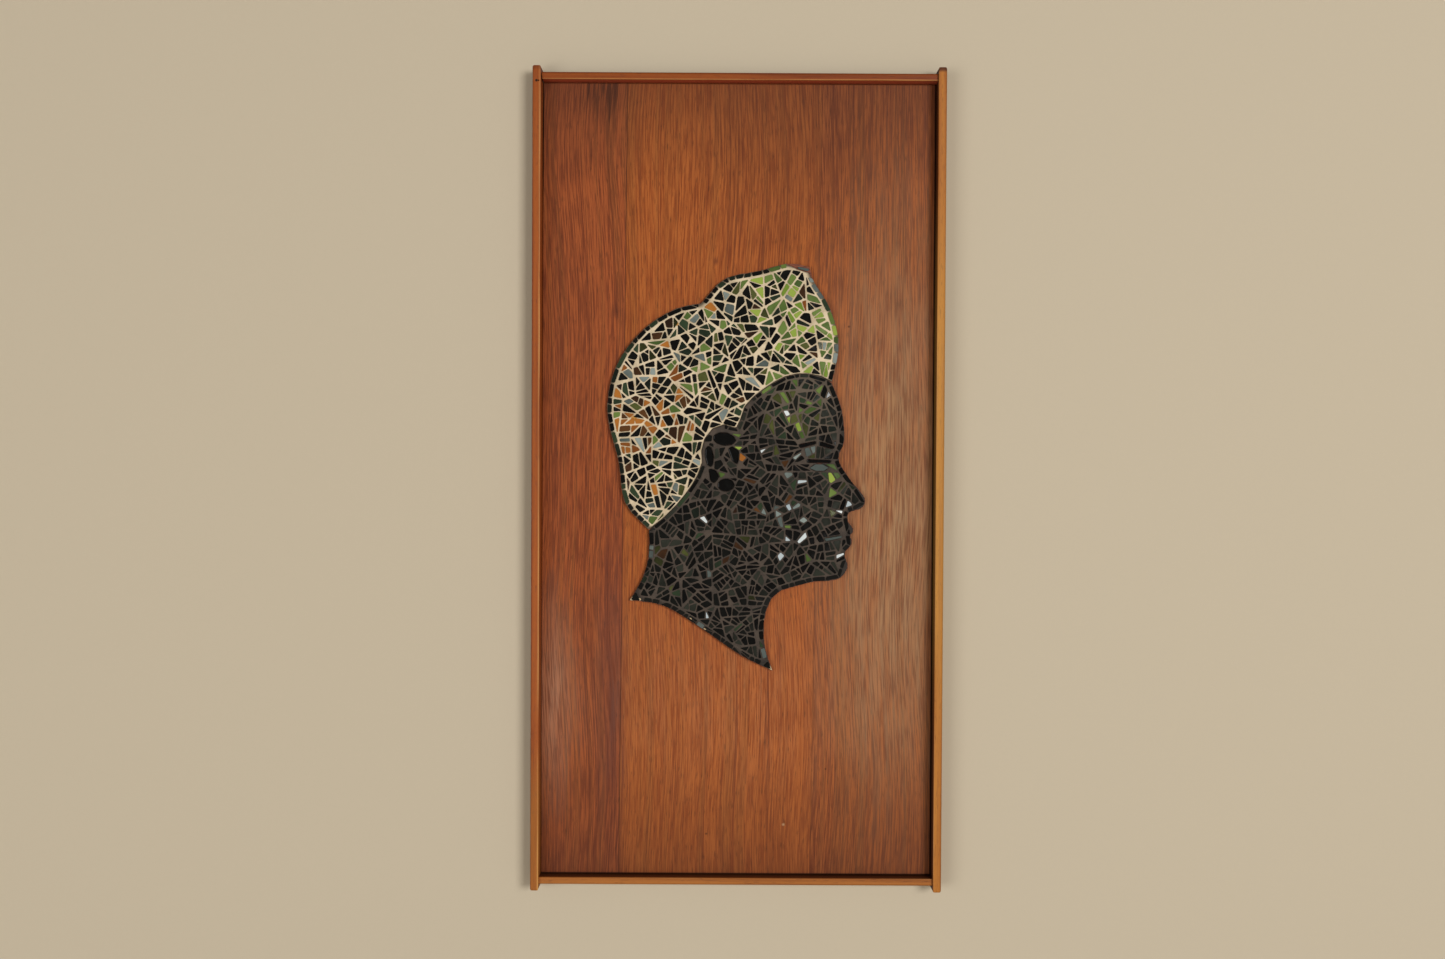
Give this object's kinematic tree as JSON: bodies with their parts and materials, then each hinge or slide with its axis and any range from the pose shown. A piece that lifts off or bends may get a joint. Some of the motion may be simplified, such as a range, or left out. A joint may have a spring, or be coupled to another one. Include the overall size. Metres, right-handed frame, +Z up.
{
  "type": "framed mosaic wall panel",
  "caption": "Tall veneered board in a thin hardwood frame, with a head in profile laid in black, green and amber broken glass mosaic in relief.",
  "frame": {"origin": "middle of the board's back face, which lies on the wall", "axes": "+Z up along the panel's length, +Y into the wall, +X to the viewer's right; the picture faces -Y"},
  "size_m": [0.4, 0.024, 0.8],
  "materials": {
    "board_veneer": "satin varnished reddish brown veneer in three leaves, upright grain",
    "frame_teak": "oiled teak, worn paler along the front edges",
    "ground_wood": "raw reddish brown sawn edge",
    "hair_mosaic": "cream grout with raised glossy shards in black, green, lime, amber and grey",
    "face_mosaic": "dark brown-grey grout with raised glossy shards, mostly black",
    "tile_glass": "opaque glossy black glass"
  },
  "bodies": {
    "root": {"back_board": "board_veneer", "left_stile": "frame_teak", "right_stile": "frame_teak", "top_rail": "frame_teak", "bottom_rail": "frame_teak", "head_ground": "ground_wood", "hair_mosaic": "hair_mosaic", "face_mosaic": "face_mosaic", "ear_top_tile": "tile_glass", "ear_back_tile": "tile_glass", "ear_front_tile": "tile_glass", "ear_lower_tile": "tile_glass", "ear_lobe_tile": "tile_glass", "eye_tile": "tile_glass", "eyelid_tile": "tile_glass", "brow_front_tile": "tile_glass", "brow_back_tile": "tile_glass", "nostril_tile": "tile_glass", "mouth_tile": "tile_glass"}
  },
  "joints": []
}
